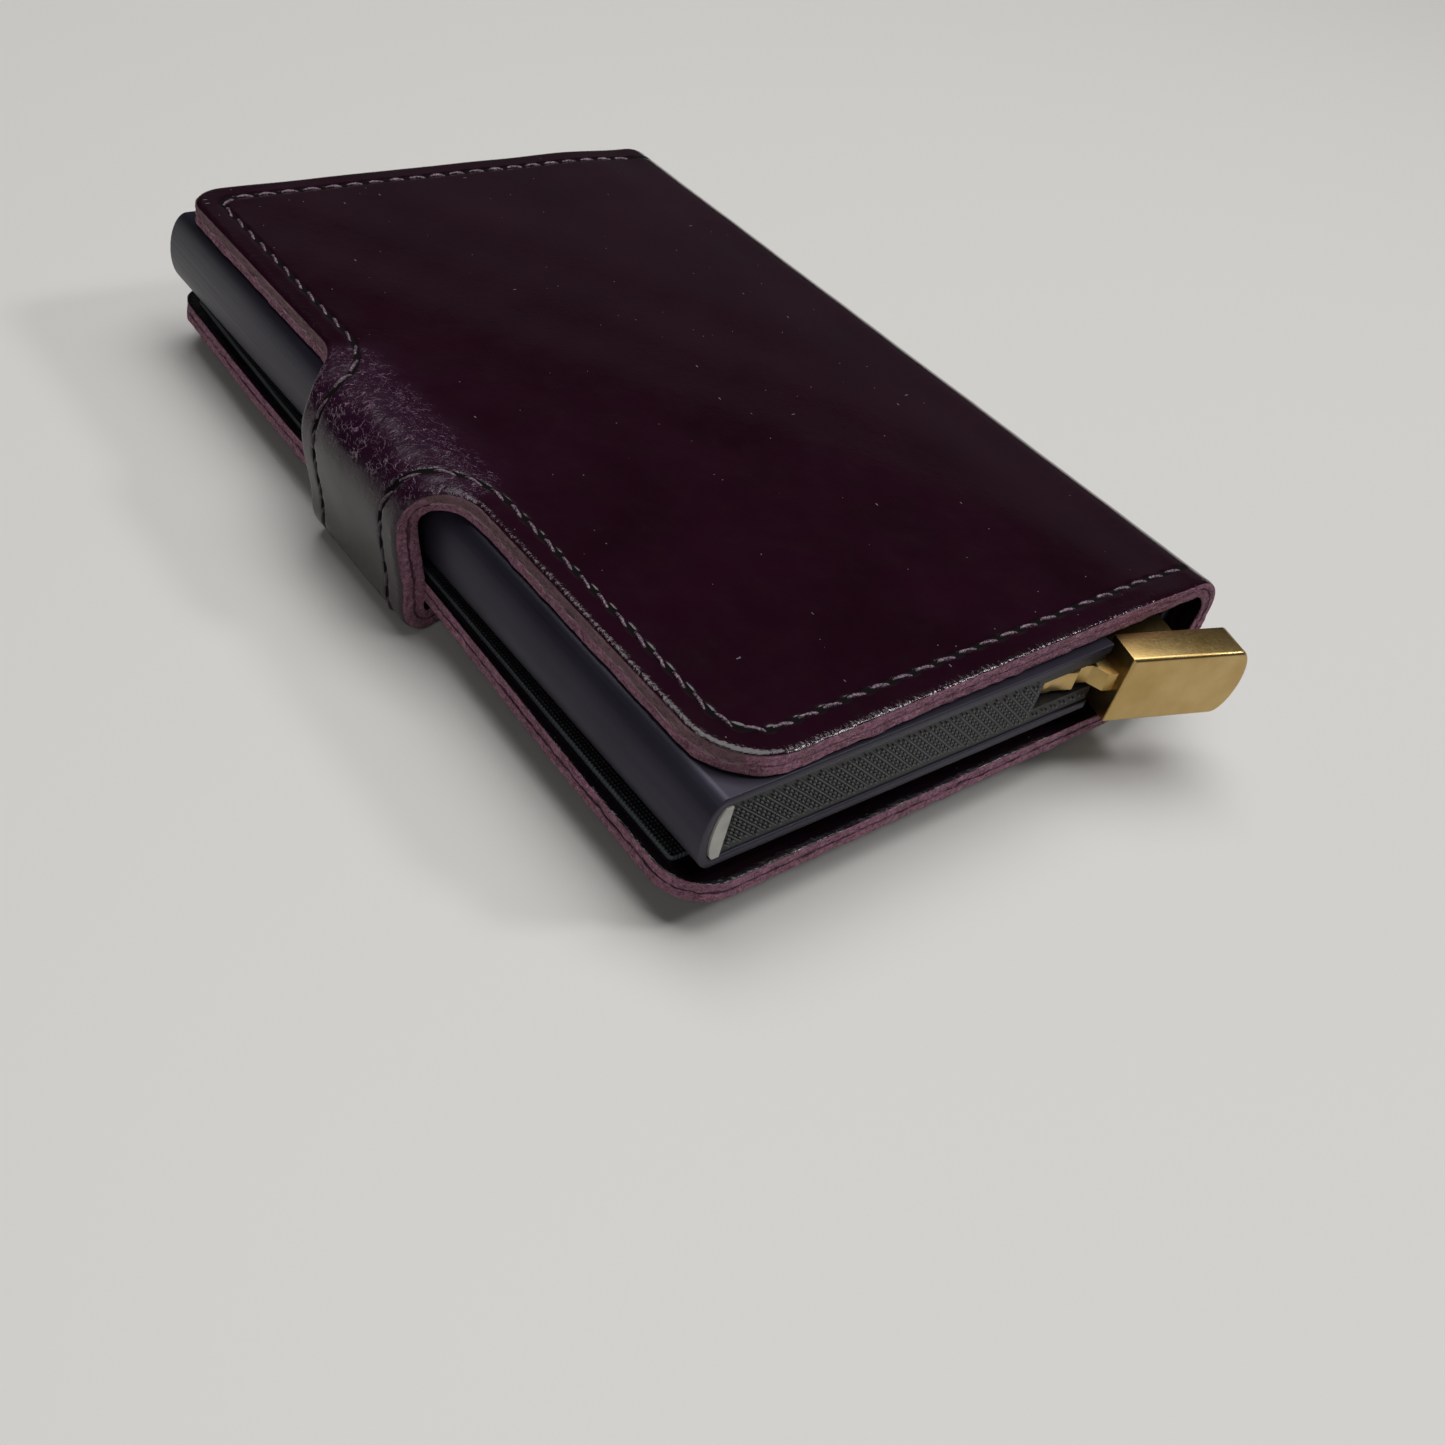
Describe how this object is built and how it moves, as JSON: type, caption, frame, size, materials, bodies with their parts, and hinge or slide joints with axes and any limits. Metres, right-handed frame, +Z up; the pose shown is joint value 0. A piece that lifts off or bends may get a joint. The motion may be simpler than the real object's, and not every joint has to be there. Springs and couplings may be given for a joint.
{
  "type": "minimalist wallet",
  "caption": "Pop-up card wallet: slim aluminium card case with a push lever, wrapped in a two-layer leather cover closed by a side strap with a snap.",
  "frame": {"origin": "middle of the underside of the closed wallet's bounding box, where the strap's snap cap rests", "axes": "+Z up through the back panel, which lies on top; +Y along the case towards the card opening, away from the lever; +X towards the spine, away from the strap"},
  "size_m": [0.0686, 0.104, 0.017],
  "materials": {
    "anodised_aluminium": "satin dark anodised",
    "black_plastic": "moulded, cross-cut texture on the end face",
    "steel": "plated",
    "white_strip": "matt off-white",
    "adhesive_tape": "double-sided adhesive",
    "brass": "satin gold",
    "outer_leather": "glossy dark aubergine, raw mauve edges",
    "lining_leather": "glossy, raw mauve edges",
    "woven_textile": "fine black weave",
    "snap_cap_metal": "dark plated"
  },
  "bodies": {
    "case": {"housing": "anodised_aluminium", "end_cap": "black_plastic", "lever_pivot_pin": "steel", "retaining_strip_left": "white_strip", "retaining_strip_right": "white_strip", "mounting_tape": "adhesive_tape", "back_panel_outer": "outer_leather", "back_panel_lining": "lining_leather"},
    "lever": {"ejector_lever": "brass"},
    "spine": {"spine_outer": "outer_leather", "spine_lining": "lining_leather"},
    "front_cover": {"front_cover_outer": "outer_leather", "front_cover_lining": "lining_leather", "textile_pocket": "woven_textile", "card_pocket_rear": "lining_leather", "card_pocket_front": "lining_leather", "snap_stud": "steel", "snap_stud_eyelet": "steel"},
    "strap_side": {"strap_side_outer": "outer_leather", "strap_side_lining": "lining_leather"},
    "strap_tip": {"strap_tip_outer": "outer_leather", "strap_tip_lining": "lining_leather", "snap_socket": "steel", "snap_cap": "snap_cap_metal"}
  },
  "joints": [
    {"name": "lever_push", "type": "hinge", "parent": "case", "child": "lever", "pos_m": [0.0106, -0.04205, 0.01105], "axis": [0, 0, 1], "range_deg": [0, 18]},
    {"name": "spine_fold", "type": "hinge", "parent": "case", "child": "spine", "pos_m": [0.03236, 0.00335, 0.01501], "axis": [0, -1, 0], "range_deg": [0, 90]},
    {"name": "front_fold", "type": "hinge", "parent": "spine", "child": "front_cover", "pos_m": [0.03236, 0.00335, 0.00534], "axis": [0, -1, 0], "range_deg": [0, 90]},
    {"name": "strap_bend", "type": "hinge", "parent": "case", "child": "strap_side", "pos_m": [-0.03242, 0.00485, 0.01507], "axis": [0, 1, 0], "range_deg": [0, 90]},
    {"name": "strap_peel", "type": "hinge", "parent": "strap_side", "child": "strap_tip", "pos_m": [-0.03275, 0.00485, 0.00235], "axis": [0, 1, 0], "range_deg": [0, 90]}
  ]
}
